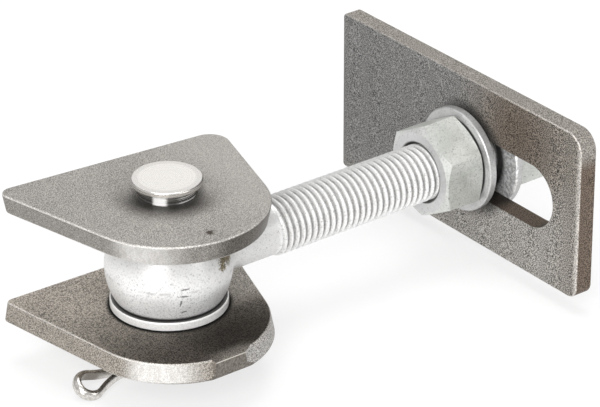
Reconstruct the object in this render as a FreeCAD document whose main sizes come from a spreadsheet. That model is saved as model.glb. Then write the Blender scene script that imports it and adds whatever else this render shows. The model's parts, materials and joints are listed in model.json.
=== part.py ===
"""Adjustable gate hinge: two weld-on hinge plates, a pin, an eye bolt and a slotted gate plate."""
import FreeCAD, Part
import math
import os
import Sketcher

Vector = FreeCAD.Vector
UPRIGHT = Vector(0, 0, 1)

# Driving dimensions in millimetres and degrees: name, value, meaning
SIZES = [
    ("plate_stock", 7.0, "thickness of the hinge plates and of the slotted plate"),
    ("edge_round", 0.7, "rounding of the plates' cut edges"),
    ("cut_bevel_angle", 11.0, "slope of the flame-cut rim of a hinge plate"),
    ("upper_weld_reach", 30.0, "upper plate, pin axis to the weld edge"),
    ("upper_left_reach", 35.4, "upper plate, pin axis to the left side on the wide face"),
    ("upper_right_reach", 31.7, "upper plate, pin axis to the right side on the wide face"),
    ("upper_nose_radius", 32.2, "upper plate, nose on the wide face"),
    ("upper_left_corner", 4.0, "upper plate, left end of the weld edge"),
    ("upper_right_corner", 7.0, "upper plate, right end of the weld edge"),
    ("upper_left_angle", 18.5, "upper plate, lean of the left side"),
    ("upper_right_angle", 10.7, "upper plate, lean of the right side"),
    ("upper_plate_angle", -4.1, "upper plate's weld edge from the lower plate's, as shown"),
    ("lower_weld_reach", 32.6, "lower plate, pin axis to the weld edge"),
    ("lower_left_reach", 37.5, "lower plate, pin axis to the left side on the wide face"),
    ("lower_right_reach", 31.5, "lower plate, pin axis to the right side on the wide face"),
    ("lower_nose_radius", 32.4, "lower plate, nose on the wide face"),
    ("lower_left_corner", 2.0, "lower plate, left end of the weld edge"),
    ("lower_right_corner", 7.0, "lower plate, right end of the weld edge"),
    ("lower_left_angle", 10.8, "lower plate, lean of the left side"),
    ("lower_right_angle", 16.9, "lower plate, lean of the right side"),
    ("nose_cut_depth", 0.7, "rough flat cut into the lower plate's nose, at half its thickness"),
    ("nose_cut_angle", 1.5, "direction of the rough flat cut, from straight ahead"),
    ("nose_undercut_angle", 13.5, "lean of the rough flat cut under its upper edge"),
    ("nose_lip_left", 6.5, "centre of the nose to the left end of the lip left standing over the cut"),
    ("nose_lip_right", 5.0, "centre of the nose to the lip's right end"),
    ("nose_lip_root", 5.0, "how deep the lip runs back into the nose"),
    ("nose_lip_angle", 36.0, "slope of the lip's right flank"),
    ("pin_diameter", 18.0, "hinge pin"),
    ("pin_clearance", 0.08, "radial room round the hinge pin"),
    ("pin_collar_diameter", 19.5, "collar that stands on the upper plate"),
    ("pin_collar_height", 4.0, "collar, from the plate to the head"),
    ("pin_head_diameter", 23.5, "head lip"),
    ("pin_head_thickness", 1.5, "head lip"),
    ("pin_head_round", 0.5, "rounding of the head's upper edge"),
    ("pin_tail", 14.5, "pin below the lower plate"),
    ("pin_tip_chamfer", 1.5, "chamfer at the pin's lower end"),
    ("split_hole_diameter", 5.0, "cross hole for the split pin"),
    ("split_hole_drop", 10.5, "cross hole below the lower plate"),
    ("split_pin_diameter", 4.6, "the split pin's two legs together"),
    ("split_leg_gap", 0.2, "room between the legs"),
    ("split_neck_reach", 19.9, "pin axis to where the legs part into the eye"),
    ("split_tail_reach", 17.0, "pin axis to the end of the long leg"),
    ("split_leg_step", 2.5, "how much shorter the other leg is"),
    ("split_eye_radius", 3.3, "inside of the eye"),
    ("split_flare_radius", 33.0, "bend of a leg into the eye"),
    ("split_pin_angle", 186.8, "direction of the split pin's eye, from the weld edge"),
    ("split_roll_angle", -32.4, "turn of the split pin's eye about its legs"),
    ("thrust_washer_diameter", 39.0, "washers on the hinge pin"),
    ("thrust_washer_thickness", 3.0, "washers on the hinge pin"),
    ("end_play", 1.5, "free room on the pin under the upper plate"),
    ("eye_diameter", 42.0, "ball of the eye"),
    ("eye_width", 23.0, "eye between its flat ends"),
    ("eye_bore_chamfer", 0.8, "edges of the eye's bore"),
    ("neck_diameter", 18.4, "plain neck between the eye and the thread"),
    ("neck_fillet", 5.0, "neck into the eye"),
    ("thread_diameter", 20.0, "outside of the thread"),
    ("thread_start", 43.0, "pin axis to the start of the thread"),
    ("thread_clearance", 0.05, "radial room round the thread"),
    ("bolt_reach", 160.0, "pin axis to the end of the bolt"),
    ("bolt_tip_chamfer", 1.6, "chamfer at the end of the bolt"),
    ("swing_angle", 1.65, "bolt from parallel to the weld edge, as shown"),
    ("nut_flats", 30.0, "hexagon nuts, across flats"),
    ("nut_height", 16.0, "hexagon nuts"),
    ("nut_crown_diameter", 28.5, "chamfer circle on a nut's end"),
    ("nut_crown_angle", 30.0, "chamfer of a nut's corners"),
    ("nut_mouth", 1.0, "chamfer of a nut's bore"),
    ("nut_angle", 1.8, "turn of the nuts from corner upright"),
    ("clamp_washer_bore", 21.0, "bore of the washers on the bolt"),
    ("clamp_washer_thickness", 3.0, "washers on the bolt"),
    ("front_washer_diameter", 37.0, "washer under the front nut"),
    ("rear_washer_diameter", 41.0, "washer under the rear nut"),
    ("washer_edge", 0.4, "chamfer of the washers' rims"),
    ("plate_seat", 124.0, "pin axis to the slotted plate's front face"),
    ("plate_length", 126.3, "slotted plate along its slot"),
    ("plate_height", 60.0, "slotted plate across its slot"),
    ("plate_rise", 0.9, "how much taller the slotted plate is at the slot's end"),
    ("plate_corner", 7.0, "upper corner radius of the slotted plate, at the slot's end"),
    ("plate_low_corner", 4.5, "lower corner radius of the slotted plate, at the slot's end"),
    ("plate_far_corner", 1.5, "corner radius of the slotted plate, at its other end"),
    ("plate_short_side", 60.0, "bolt axis to the plate's end beyond the slot"),
    ("slot_width", 23.0, "slot across"),
    ("slot_travel", 38.0, "centre to centre of the slot's two ends"),
    ("slot_near_end", 2.5, "bolt axis to the centre of the slot's covered end"),
]

doc = FreeCAD.newDocument("adjustable_gate_hinge")
sheet = doc.addObject("Spreadsheet::Sheet", "Sizes")
for row, (name, value, meaning) in enumerate(SIZES, start=1):
    sheet.set(f"A{row}", meaning)
    sheet.set(f"B{row}", str(value))
    sheet.setAlias(f"B{row}", name)
doc.recompute()

# Heights above the middle of the lower plate, as formulas of the sheet
LOWER_TOP = "(Sizes.plate_stock / 2)"
EYE_BOTTOM = f"({LOWER_TOP} + Sizes.thrust_washer_thickness)"
BOLT_AXIS = f"({EYE_BOTTOM} + Sizes.eye_width / 2)"
EYE_TOP = f"({EYE_BOTTOM} + Sizes.eye_width)"
SPACER_BOTTOM = f"({EYE_TOP} + Sizes.thrust_washer_thickness)"
UPPER_BOTTOM = f"({SPACER_BOTTOM} + Sizes.thrust_washer_thickness + Sizes.end_play)"
UPPER_MIDDLE = f"({UPPER_BOTTOM} + Sizes.plate_stock / 2)"
UPPER_TOP = f"({UPPER_BOTTOM} + Sizes.plate_stock)"
COLLAR_TOP = f"({UPPER_TOP} + Sizes.pin_collar_height)"
HEAD_TOP = f"({COLLAR_TOP} + Sizes.pin_head_thickness)"
PIN_END = f"(-{LOWER_TOP} - Sizes.pin_tail)"
SPLIT_HEIGHT = f"(-{LOWER_TOP} - Sizes.split_hole_drop)"

# Places along the bolt, from the pin axis
FRONT_WASHER_SEAT = "(Sizes.plate_seat - Sizes.clamp_washer_thickness)"
FRONT_NUT_SEAT = f"({FRONT_WASHER_SEAT} - Sizes.nut_height)"
REAR_WASHER_SEAT = "(Sizes.plate_seat + Sizes.plate_stock)"
REAR_NUT_SEAT = f"({REAR_WASHER_SEAT} + Sizes.clamp_washer_thickness)"

# Radii that several pieces share
PIN_RADIUS = "(Sizes.pin_diameter / 2)"
PIN_BORE = f"({PIN_RADIUS} + Sizes.pin_clearance)"
THREAD_RADIUS = "(Sizes.thread_diameter / 2)"
THREAD_BORE = f"({THREAD_RADIUS} + Sizes.thread_clearance)"


def value_of(formula):
    """The number that a formula gives at the present sizes."""
    return float(sheet.evalExpression(formula))


def new_body(label):
    body = doc.addObject("PartDesign::Body", label)
    body.Label = label
    return body


def new_sketch(body, name, role, offset=None, axis=UPRIGHT, turn=None):
    """A sketch on one of the body's origin planes, moved along its normal and turned by formulas."""
    plane = next(item for item in body.Origin.OriginFeatures if item.Role == role)
    sketch = body.newObject("Sketcher::SketchObject", f"{body.Name}_{name}")
    sketch.AttachmentSupport = [(plane, "")]
    sketch.MapMode = "FlatFace"
    if turn:
        sketch.AttachmentOffset = FreeCAD.Placement(Vector(), FreeCAD.Rotation(axis, value_of(turn)))
        sketch.setExpression("AttachmentOffset.Rotation.Angle", turn)
    if offset:
        sketch.setExpression("AttachmentOffset.Base.z", offset)
    return sketch


def bind(sketch, formula, kind, *points):
    """Adds a driving constraint whose value follows a formula."""
    index = sketch.addConstraint(Sketcher.Constraint(kind, *points, value_of(formula)))
    sketch.setExpression(f"Constraints[{index}]", formula)


def join(sketch, kind, *points):
    sketch.addConstraint(Sketcher.Constraint(kind, *points))


def place_point(sketch, geometry, end, across, up):
    """Holds a point at formula distances from the sketch's origin."""
    for kind, formula, axis in (("DistanceX", across, -2), ("DistanceY", up, -1)):
        if formula == "0":
            join(sketch, "PointOnObject", geometry, end, axis)
        else:
            bind(sketch, formula, kind, -1, 1, geometry, end)


def polygon(sketch, corners):
    """Closed outline through corners given as pairs of formulas."""
    first = sketch.GeometryCount
    count = len(corners)
    places = [Vector(value_of(across), value_of(up), 0) for across, up in corners]
    for index in range(count):
        sketch.addGeometry(Part.LineSegment(places[index], places[(index + 1) % count]), False)
    for index, (across, up) in enumerate(corners):
        join(sketch, "Coincident", first + index, 2, first + (index + 1) % count, 1)
        place_point(sketch, first + index, 1, across, up)


def circle(sketch, radius, across="0", up="0"):
    middle = Vector(value_of(across), value_of(up), 0)
    index = sketch.addGeometry(Part.Circle(middle, UPRIGHT, value_of(radius)), False)
    place_point(sketch, index, 3, across, up)
    bind(sketch, radius, "Radius", index)


def arc(sketch, middle, radius, start, end):
    """Arc about a middle point, counter-clockwise between two angles in radians."""
    whole = Part.Circle(middle, UPRIGHT, radius)
    return sketch.addGeometry(Part.ArcOfCircle(whole, start, end), False)


def pad(body, name, sketch, length, symmetric=False):
    feature = body.newObject("PartDesign::Pad", f"{body.Name}_{name}")
    feature.Profile = sketch
    if symmetric:
        feature.SideType = "Symmetric"
    feature.setExpression("Length", length)
    doc.recompute()
    return feature


def cut_through(body, name, sketch):
    """Cuts a sketch right through the body, both ways, and makes sure that it did cut."""
    before = body.Shape.Volume
    feature = body.newObject("PartDesign::Pocket", f"{body.Name}_{name}")
    feature.Profile = sketch
    feature.Type = "ThroughAll"
    feature.SideType = "Symmetric"
    doc.recompute()
    if not body.Shape.Volume < before:
        raise RuntimeError(f"{name} of {body.Label} cuts nothing")
    return feature


def revolve(body, kind, name, sketch, axis):
    feature = body.newObject(f"PartDesign::{kind}", f"{body.Name}_{name}")
    feature.Profile = sketch
    feature.ReferenceAxis = (sketch, [axis])
    feature.Angle = 360
    doc.recompute()
    return feature


def dress(body, kind, name, size, wanted):
    """A fillet or chamfer of a formula's size on the edges that a test picks."""
    base = body.Tip
    edges = [f"Edge{number}" for number, edge in enumerate(base.Shape.Edges, start=1) if wanted(edge)]
    if not edges:
        raise RuntimeError(f"{name} of {body.Label} finds no edge")
    feature = body.newObject(f"PartDesign::{kind}", f"{body.Name}_{name}")
    feature.Base = (base, edges)
    feature.setExpression("Radius" if kind == "Fillet" else "Size", size)
    doc.recompute()
    return feature


def is_circle(edge, radius):
    return isinstance(edge.Curve, Part.Circle) and math.isclose(edge.Curve.Radius, radius, abs_tol=1e-4)


def is_flat(edge, axis):
    """True where an edge lies in a plane across the given axis: 0, 1 or 2 for X, Y or Z."""
    box = edge.BoundBox
    return (box.XLength, box.YLength, box.ZLength)[axis] < 1e-4


def place(item, across, along, up, turn):
    """Binds a sub-part's place, and its turn about the upright axis, to the sheet."""
    item.Placement = FreeCAD.Placement(Vector(), FreeCAD.Rotation(UPRIGHT, value_of(turn)))
    item.setExpression("Placement.Base.x", across)
    item.setExpression("Placement.Base.y", along)
    item.setExpression("Placement.Base.z", up)
    if turn != "0":
        item.setExpression("Placement.Rotation.Angle", turn)
    doc.recompute()
    return item


def place_on_pin(item, up, turn="0"):
    return place(item, "0", "-Sizes.lower_weld_reach", up, turn)


def place_on_bolt(item):
    return place_on_pin(item, BOLT_AXIS, "Sizes.swing_angle")


def nose_centre(side):
    """Formulas for the centre of the nose that touches both of a hinge plate's sides."""
    left, right = f"Sizes.{side}_left_angle", f"Sizes.{side}_right_angle"
    left_step = f"(Sizes.{side}_left_reach - Sizes.{side}_nose_radius)"
    right_step = f"(Sizes.{side}_right_reach - Sizes.{side}_nose_radius)"
    across = f"({right_step} * sin({left}) - {left_step} * sin({right})) / sin({left} + {right})"
    along = f"-({left_step} * cos({right}) + {right_step} * cos({left})) / sin({left} + {right})"
    return across, along


def hinge_plate(label, side, up, turn, wide_face_up):
    """Plate about the pin: a weld edge, sides that run tangent into a round nose, a sloping cut rim."""
    body = new_body(label)
    weld = f"Sizes.{side}_weld_reach"
    ends = {}
    for hand, sign in (("left", "-"), ("right", "")):
        reach, lean = f"Sizes.{side}_{hand}_reach", f"Sizes.{side}_{hand}_angle"
        ends[hand] = f"{sign}({reach} + {weld} * sin({lean})) / cos({lean})"
    left = Vector(value_of(ends["left"]), value_of(weld), 0)
    right = Vector(value_of(ends["right"]), value_of(weld), 0)
    across, along = nose_centre(side)
    centre = Vector(value_of(across), value_of(along), 0)
    nose = value_of(f"Sizes.{side}_nose_radius")
    left_lean = math.radians(value_of(f"Sizes.{side}_left_angle"))
    right_lean = math.radians(value_of(f"Sizes.{side}_right_angle"))
    left_touch = centre + Vector(-math.cos(left_lean), -math.sin(left_lean), 0) * nose
    right_touch = centre + Vector(math.cos(right_lean), -math.sin(right_lean), 0) * nose

    outline = new_sketch(body, "outline", "XY_Plane")
    outline.addGeometry(Part.LineSegment(right, left), False)
    outline.addGeometry(Part.LineSegment(left, left_touch), False)
    arc(outline, centre, nose, math.pi + left_lean, 2 * math.pi - right_lean)
    outline.addGeometry(Part.LineSegment(right_touch, right), False)
    join(outline, "Coincident", 0, 2, 1, 1)
    join(outline, "Tangent", 1, 2, 2, 1)
    join(outline, "Tangent", 2, 2, 3, 1)
    join(outline, "Coincident", 3, 2, 0, 1)
    bind(outline, f"Sizes.{side}_nose_radius", "Radius", 2)
    place_point(outline, 2, 3, across, along)
    place_point(outline, 0, 1, ends["right"], weld)
    place_point(outline, 0, 2, ends["left"], weld)
    blank = pad(body, "blank", outline, "Sizes.plate_stock", symmetric=True)

    wide_height = value_of("Sizes.plate_stock / 2") * (1 if wide_face_up else -1)
    back = value_of(weld)
    rim, wide = [], []
    for number, face in enumerate(blank.Shape.Faces, start=1):
        middle = face.CenterOfMass
        if math.isclose(middle.z, wide_height, abs_tol=1e-4):
            wide.append(f"Face{number}")
        elif abs(middle.z) < 1e-4 and middle.y < back - 1e-4:
            rim.append(f"Face{number}")
    bevel = body.newObject("PartDesign::Draft", f"{body.Name}_bevel")
    bevel.Base = (blank, rim)
    bevel.NeutralPlane = (blank, wide)
    bevel.setExpression("Angle", "Sizes.cut_bevel_angle")
    doc.recompute()
    if body.Shape.Volume > blank.Shape.Volume:
        bevel.Reversed = True
        doc.recompute()

    def is_weld_end(edge, sign):
        at_weld = math.isclose(edge.BoundBox.YMax, back, abs_tol=1e-4)
        return not is_flat(edge, 2) and at_weld and edge.CenterOfMass.x * sign > 0

    dress(body, "Fillet", "left_end", f"Sizes.{side}_left_corner", lambda edge: is_weld_end(edge, -1))
    dress(body, "Fillet", "right_end", f"Sizes.{side}_right_corner", lambda edge: is_weld_end(edge, 1))
    dress(body, "Fillet", "edges", "Sizes.edge_round", lambda edge: is_flat(edge, 2))
    hole = new_sketch(body, "pin_hole", "XY_Plane")
    circle(hole, PIN_BORE)
    cut_through(body, "pin_hole_cut", hole)
    return place_on_pin(body, up, turn)


def cut_from(base, tool, label):
    result = doc.addObject("Part::Cut", label)
    result.Label = label
    result.Base = base
    result.Tool = tool
    doc.recompute()
    if not result.Shape.Volume < base.Shape.Volume:
        raise RuntimeError(f"{tool.Label} cuts nothing from {base.Label}")
    return result


def rough_nose(blank, label):
    """The lower plate's nose: a lip left standing by the flame cut, cut flat and leaning by hand."""
    spread = "Sizes.lower_nose_radius"
    centre_across, centre_along = nose_centre("lower")
    front = f"{centre_along} - {spread} - Sizes.nose_lip_root"
    back = f"{centre_along} - {spread} + Sizes.nose_lip_root"
    left = f"{centre_across} - Sizes.nose_lip_left"
    right = f"{centre_across} + Sizes.nose_lip_right"
    flank = "Sizes.nose_lip_root / tan(Sizes.nose_lip_angle)"
    lip = new_body("nose_lip")
    outline = new_sketch(lip, "outline", "XY_Plane")
    polygon(outline, [(left, back), (left, front), (f"{right} - {flank}", front), (f"{right} + {flank}", back)])
    pad(lip, "lip_pad", outline, "Sizes.plate_stock", symmetric=True)
    place_on_pin(lip, "0")
    whole = doc.addObject("Part::Fuse", "lipped_plate")
    whole.Base = blank
    whole.Tool = lip
    doc.recompute()

    turn = "Sizes.nose_cut_angle"
    lean = "Sizes.nose_undercut_angle"
    deep = f"({spread} - Sizes.nose_cut_depth)"
    flat = doc.addObject("Part::Box", "nose_flat_tool")
    flat.setExpression("Length", f"4 * {spread}")
    flat.setExpression("Width", spread)
    flat.setExpression("Height", f"2 * {spread}")
    corner = f"vector(-2 * {spread}; -{spread}; -{spread})"
    edge = f"vector({centre_across} + {deep} * sin({turn});"
    edge += f" {centre_along} - Sizes.lower_weld_reach - {deep} * cos({turn}); 0)"
    turned = f"rotation(vector(0; 0; 1); {turn}) * rotation(vector(1; 0; 0); {lean})"
    flat.setExpression("Placement", f"placement({edge}; {turned}) * placement({corner}; rotation(vector(0; 0; 1); 0))")
    doc.recompute()
    return cut_from(whole, flat, label)


def hinge_pin(label):
    """Turned pin with a thin head lip, a collar that stands on the upper plate, and a cross hole."""
    body = new_body(label)
    profile = new_sketch(body, "profile", "XZ_Plane")
    collar = "Sizes.pin_collar_diameter / 2"
    head = "Sizes.pin_head_diameter / 2"
    polygon(profile, [
        ("0", PIN_END),
        (f"{PIN_RADIUS} - Sizes.pin_tip_chamfer", PIN_END),
        (PIN_RADIUS, f"{PIN_END} + Sizes.pin_tip_chamfer"),
        (PIN_RADIUS, UPPER_TOP),
        (collar, UPPER_TOP),
        (collar, COLLAR_TOP),
        (head, COLLAR_TOP),
        (head, HEAD_TOP),
        ("0", HEAD_TOP),
    ])
    revolve(body, "Revolution", "turned", profile, "V_Axis")
    top = value_of(HEAD_TOP)
    dress(body, "Fillet", "head_edge", "Sizes.pin_head_round",
          lambda edge: is_flat(edge, 2) and math.isclose(edge.BoundBox.ZMax, top, abs_tol=1e-4))
    hole = new_sketch(body, "split_hole", "XZ_Plane")
    circle(hole, "Sizes.split_hole_diameter / 2", "0", SPLIT_HEIGHT)
    cut_through(body, "split_hole_cut", hole)
    return place_on_pin(body, "0", "Sizes.split_pin_angle - 90")


def split_pin(label):
    """Half-round wire folded on itself: two straight legs that part into a drop-shaped eye."""
    body = new_body(label)
    gap = value_of("Sizes.split_leg_gap / 2")
    wire = "(Sizes.split_pin_diameter - Sizes.split_leg_gap) / 2"
    neck = value_of("Sizes.split_neck_reach")
    tail = value_of("Sizes.split_tail_reach")
    flare = value_of("Sizes.split_flare_radius")
    eye = value_of("Sizes.split_eye_radius")
    rise = gap + flare
    advance = math.sqrt((flare + eye) ** 2 - rise ** 2)
    meet = math.atan2(rise, -advance)
    bend = meet - math.pi

    roll = "Sizes.split_roll_angle"
    path = new_sketch(body, "path", "XY_Plane", axis=Vector(1, 0, 0), turn=roll)
    path.addGeometry(Part.LineSegment(Vector(-tail, gap, 0), Vector(neck, gap, 0)), False)
    arc(path, Vector(neck, rise, 0), flare, -math.pi / 2, bend)
    arc(path, Vector(neck + advance, 0, 0), eye, -meet, meet)
    arc(path, Vector(neck, -rise, 0), flare, -bend, math.pi / 2)
    short_end = Vector(value_of("Sizes.split_leg_step") - tail, -gap, 0)
    path.addGeometry(Part.LineSegment(Vector(neck, -gap, 0), short_end), False)
    join(path, "Tangent", 0, 2, 1, 1)
    join(path, "Tangent", 1, 2, 2, 2)
    join(path, "Tangent", 2, 1, 3, 1)
    join(path, "Tangent", 3, 2, 4, 1)
    join(path, "Horizontal", 0)
    join(path, "Horizontal", 4)
    join(path, "PointOnObject", 2, 3, -1)
    join(path, "Equal", 1, 3)
    bind(path, "Sizes.split_flare_radius", "Radius", 1)
    bind(path, "Sizes.split_eye_radius", "Radius", 2)
    bind(path, "Sizes.split_neck_reach", "DistanceX", -1, 1, 0, 2)
    place_point(path, 0, 1, "-Sizes.split_tail_reach", "Sizes.split_leg_gap / 2")
    place_point(path, 4, 2, "Sizes.split_leg_step - Sizes.split_tail_reach", "-Sizes.split_leg_gap / 2")

    section = new_sketch(body, "section", "YZ_Plane", "-Sizes.split_tail_reach", turn=roll)
    half = value_of(wire)
    arc(section, Vector(gap, 0, 0), half, -math.pi / 2, math.pi / 2)
    section.addGeometry(Part.LineSegment(Vector(gap, half, 0), Vector(gap, -half, 0)), False)
    join(section, "Coincident", 0, 2, 1, 1)
    join(section, "Coincident", 1, 2, 0, 1)
    join(section, "PointOnObject", 0, 3, 1)
    place_point(section, 0, 3, "Sizes.split_leg_gap / 2", "0")
    join(section, "Vertical", 1)
    bind(section, wire, "Radius", 0)
    doc.recompute()

    sweep = body.newObject("PartDesign::AdditivePipe", f"{body.Name}_wire")
    sweep.Profile = section
    sweep.Spine = (path, [f"Edge{number}" for number in range(1, 6)])
    doc.recompute()
    return place_on_pin(body, SPLIT_HEIGHT, "Sizes.split_pin_angle")


def washer(label, role, seat, diameter, bore, thickness):
    """Flat ring with lightly broken rims, built across the axis that its plane gives."""
    body = new_body(label)
    ring = new_sketch(body, "ring", role, seat)
    circle(ring, f"{diameter} / 2")
    circle(ring, bore)
    pad(body, "ring_pad", ring, thickness)
    rim = value_of(f"{diameter} / 2")
    dress(body, "Chamfer", "rim", "Sizes.washer_edge", lambda edge: is_circle(edge, rim))
    return body


def thrust_washer(label, up):
    body = washer(label, "XY_Plane", None, "Sizes.thrust_washer_diameter", PIN_BORE,
                  "Sizes.thrust_washer_thickness")
    return place_on_pin(body, up)


def clamp_washer(label, seat, diameter):
    body = washer(label, "YZ_Plane", seat, diameter, "Sizes.clamp_washer_bore / 2",
                  "Sizes.clamp_washer_thickness")
    return place_on_bolt(body)


def eye_bolt(label):
    """Forged eye bolt: a ball cut flat on both ends, a filleted neck and a shank of thread size."""
    body = new_body(label)
    ball = value_of("Sizes.eye_diameter / 2")
    half = value_of("Sizes.eye_width / 2")
    flat = math.sqrt(ball ** 2 - half ** 2)
    polar = math.asin(half / ball)
    eye = new_sketch(body, "eye", "XZ_Plane")
    eye.addGeometry(Part.LineSegment(Vector(0, -half, 0), Vector(flat, -half, 0)), False)
    arc(eye, Vector(0, 0, 0), ball, -polar, polar)
    eye.addGeometry(Part.LineSegment(Vector(flat, half, 0), Vector(0, half, 0)), False)
    eye.addGeometry(Part.LineSegment(Vector(0, half, 0), Vector(0, -half, 0)), False)
    for line in range(4):
        join(eye, "Coincident", line, 2, (line + 1) % 4, 1)
    join(eye, "Horizontal", 0)
    join(eye, "Horizontal", 2)
    join(eye, "Coincident", 1, 3, -1, 1)
    bind(eye, "Sizes.eye_diameter / 2", "Radius", 1)
    place_point(eye, 3, 1, "0", "Sizes.eye_width / 2")
    place_point(eye, 0, 1, "0", "-Sizes.eye_width / 2")
    revolve(body, "Revolution", "ball", eye, "V_Axis")

    neck = "Sizes.neck_diameter / 2"
    tip = "Sizes.bolt_tip_chamfer"
    shank = new_sketch(body, "shank", "XY_Plane")
    polygon(shank, [
        ("0", "0"),
        ("0", neck),
        (f"Sizes.thread_start - ({THREAD_RADIUS} - {neck})", neck),
        ("Sizes.thread_start", THREAD_RADIUS),
        (f"Sizes.bolt_reach - {tip}", THREAD_RADIUS),
        ("Sizes.bolt_reach", f"{THREAD_RADIUS} - {tip}"),
        ("Sizes.bolt_reach", "0"),
    ])
    revolve(body, "Revolution", "shank_turned", shank, "H_Axis")
    neck_radius = value_of(neck)
    dress(body, "Fillet", "neck", "Sizes.neck_fillet",
          lambda edge: is_circle(edge, neck_radius) and edge.BoundBox.XMax < ball)
    bore = new_sketch(body, "bore", "XY_Plane")
    circle(bore, PIN_BORE)
    cut_through(body, "bore_cut", bore)
    bore_radius = value_of(PIN_BORE)
    dress(body, "Chamfer", "bore_edges", "Sizes.eye_bore_chamfer", lambda edge: is_circle(edge, bore_radius))
    return place_on_bolt(body)


def hexagon_nut(label, seat):
    """Hexagon nut, crowned on both ends, with a chamfered bore."""
    body = new_body(label)
    corner = "Sizes.nut_flats / (2 * cos(30))"
    turns = [f"(Sizes.nut_angle + {turn})" for turn in range(30, 390, 60)]
    hexagon = new_sketch(body, "hexagon", "YZ_Plane", seat)
    polygon(hexagon, [(f"{corner} * cos({turn})", f"{corner} * sin({turn})") for turn in turns])
    pad(body, "hexagon_pad", hexagon, "Sizes.nut_height")

    crown = "Sizes.nut_crown_diameter / 2"
    outside = "Sizes.nut_flats"
    depth = f"({outside} - {crown}) * tan(Sizes.nut_crown_angle)"
    end = f"({seat} + Sizes.nut_height)"
    crowns = new_sketch(body, "crowns", "XY_Plane")
    polygon(crowns, [(seat, crown), (seat, outside), (f"{seat} + {depth}", outside)])
    polygon(crowns, [(end, crown), (end, outside), (f"{end} - {depth}", outside)])
    before = body.Shape.Volume
    revolve(body, "Groove", "crown_turned", crowns, "H_Axis")
    if not body.Shape.Volume < before:
        raise RuntimeError(f"the crowns of {label} cut nothing")
    bore = new_sketch(body, "bore", "YZ_Plane")
    circle(bore, THREAD_BORE)
    cut_through(body, "bore_cut", bore)
    bore_radius = value_of(THREAD_BORE)
    dress(body, "Chamfer", "mouths", "Sizes.nut_mouth", lambda edge: is_circle(edge, bore_radius))
    return place_on_bolt(body)


def slotted_plate(label):
    """Gate plate with round corners and one long slot that the bolt passes through."""
    body = new_body(label)
    short = "-Sizes.plate_short_side"
    long = "(Sizes.plate_length - Sizes.plate_short_side)"
    tall = "Sizes.plate_height / 2"
    outline = new_sketch(body, "outline", "YZ_Plane", "Sizes.plate_seat")
    polygon(outline, [(short, f"-{tall}"), (long, f"-{tall}"), (long, tall), (short, f"{tall} + Sizes.plate_rise")])
    pad(body, "blank", outline, "Sizes.plate_stock")
    near_end, far_end = value_of(short), value_of(long)

    def is_corner(edge, end, sign):
        at_end = math.isclose(edge.CenterOfMass.y, end, abs_tol=1e-4)
        return not is_flat(edge, 0) and at_end and edge.CenterOfMass.z * sign >= 0

    dress(body, "Fillet", "upper_corner", "Sizes.plate_corner", lambda edge: is_corner(edge, near_end, 1))
    dress(body, "Fillet", "lower_corner", "Sizes.plate_low_corner", lambda edge: is_corner(edge, near_end, -1))
    dress(body, "Fillet", "far_corners", "Sizes.plate_far_corner", lambda edge: is_corner(edge, far_end, 0))
    dress(body, "Fillet", "edges", "Sizes.edge_round", lambda edge: is_flat(edge, 0))

    near = value_of("Sizes.slot_near_end")
    far = near - value_of("Sizes.slot_travel")
    half = value_of("Sizes.slot_width / 2")
    slot = new_sketch(body, "slot", "YZ_Plane", "Sizes.plate_seat")
    arc(slot, Vector(near, 0, 0), half, -math.pi / 2, math.pi / 2)
    slot.addGeometry(Part.LineSegment(Vector(near, half, 0), Vector(far, half, 0)), False)
    arc(slot, Vector(far, 0, 0), half, math.pi / 2, 3 * math.pi / 2)
    slot.addGeometry(Part.LineSegment(Vector(far, -half, 0), Vector(near, -half, 0)), False)
    for piece in range(4):
        join(slot, "Tangent", piece, 2, (piece + 1) % 4, 1)
    bind(slot, "Sizes.slot_width / 2", "Radius", 0)
    place_point(slot, 0, 3, "Sizes.slot_near_end", "0")
    place_point(slot, 2, 3, "Sizes.slot_near_end - Sizes.slot_travel", "0")
    cut_through(body, "slot_cut", slot)
    return place_on_bolt(body)


lower_blank = hinge_plate("lower_plate_blank", "lower", "0", "0", wide_face_up=False)
parts = [
    hinge_plate("upper_hinge_plate", "upper", UPPER_MIDDLE, "Sizes.upper_plate_angle", wide_face_up=True),
    rough_nose(lower_blank, "lower_hinge_plate"),
    hinge_pin("hinge_pin"),
    split_pin("split_pin"),
    thrust_washer("lower_thrust_washer", LOWER_TOP),
    thrust_washer("upper_thrust_washer", EYE_TOP),
    thrust_washer("upper_spacing_washer", SPACER_BOTTOM),
    eye_bolt("eye_bolt"),
    hexagon_nut("front_nut", FRONT_NUT_SEAT),
    clamp_washer("front_washer", FRONT_WASHER_SEAT, "Sizes.front_washer_diameter"),
    slotted_plate("slotted_plate"),
    clamp_washer("rear_washer", REAR_WASHER_SEAT, "Sizes.rear_washer_diameter"),
    hexagon_nut("rear_nut", REAR_NUT_SEAT),
]

doc.recompute()
for item in doc.Objects:
    if {"Invalid", "Error"} & set(item.State):
        raise RuntimeError(f"{item.Label} failed: {item.State}")
os.makedirs("parts", exist_ok=True)
for part in parts:
    if part.Shape.isNull() or not part.Shape.isValid() or len(part.Shape.Solids) != 1:
        raise RuntimeError(f"{part.Label} is not one valid solid")
for part in parts:
    part.Shape.exportStep(f"parts/{part.Label}.step")
    box = part.Shape.BoundBox
    print(f"{part.Label}: {part.Shape.Volume:.0f} mm3,",
          f"x {box.XMin:.1f} to {box.XMax:.1f},",
          f"y {box.YMin:.1f} to {box.YMax:.1f},",
          f"z {box.ZMin:.1f} to {box.ZMax:.1f}")
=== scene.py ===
"""Looks of the adjustable gate hinge: materials with painted light and shade, rolled thread, wear, studio
and camera.
"""
import json
import math
import bmesh
import bpy
import numpy as np
from mathutils import Matrix, Vector


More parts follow.
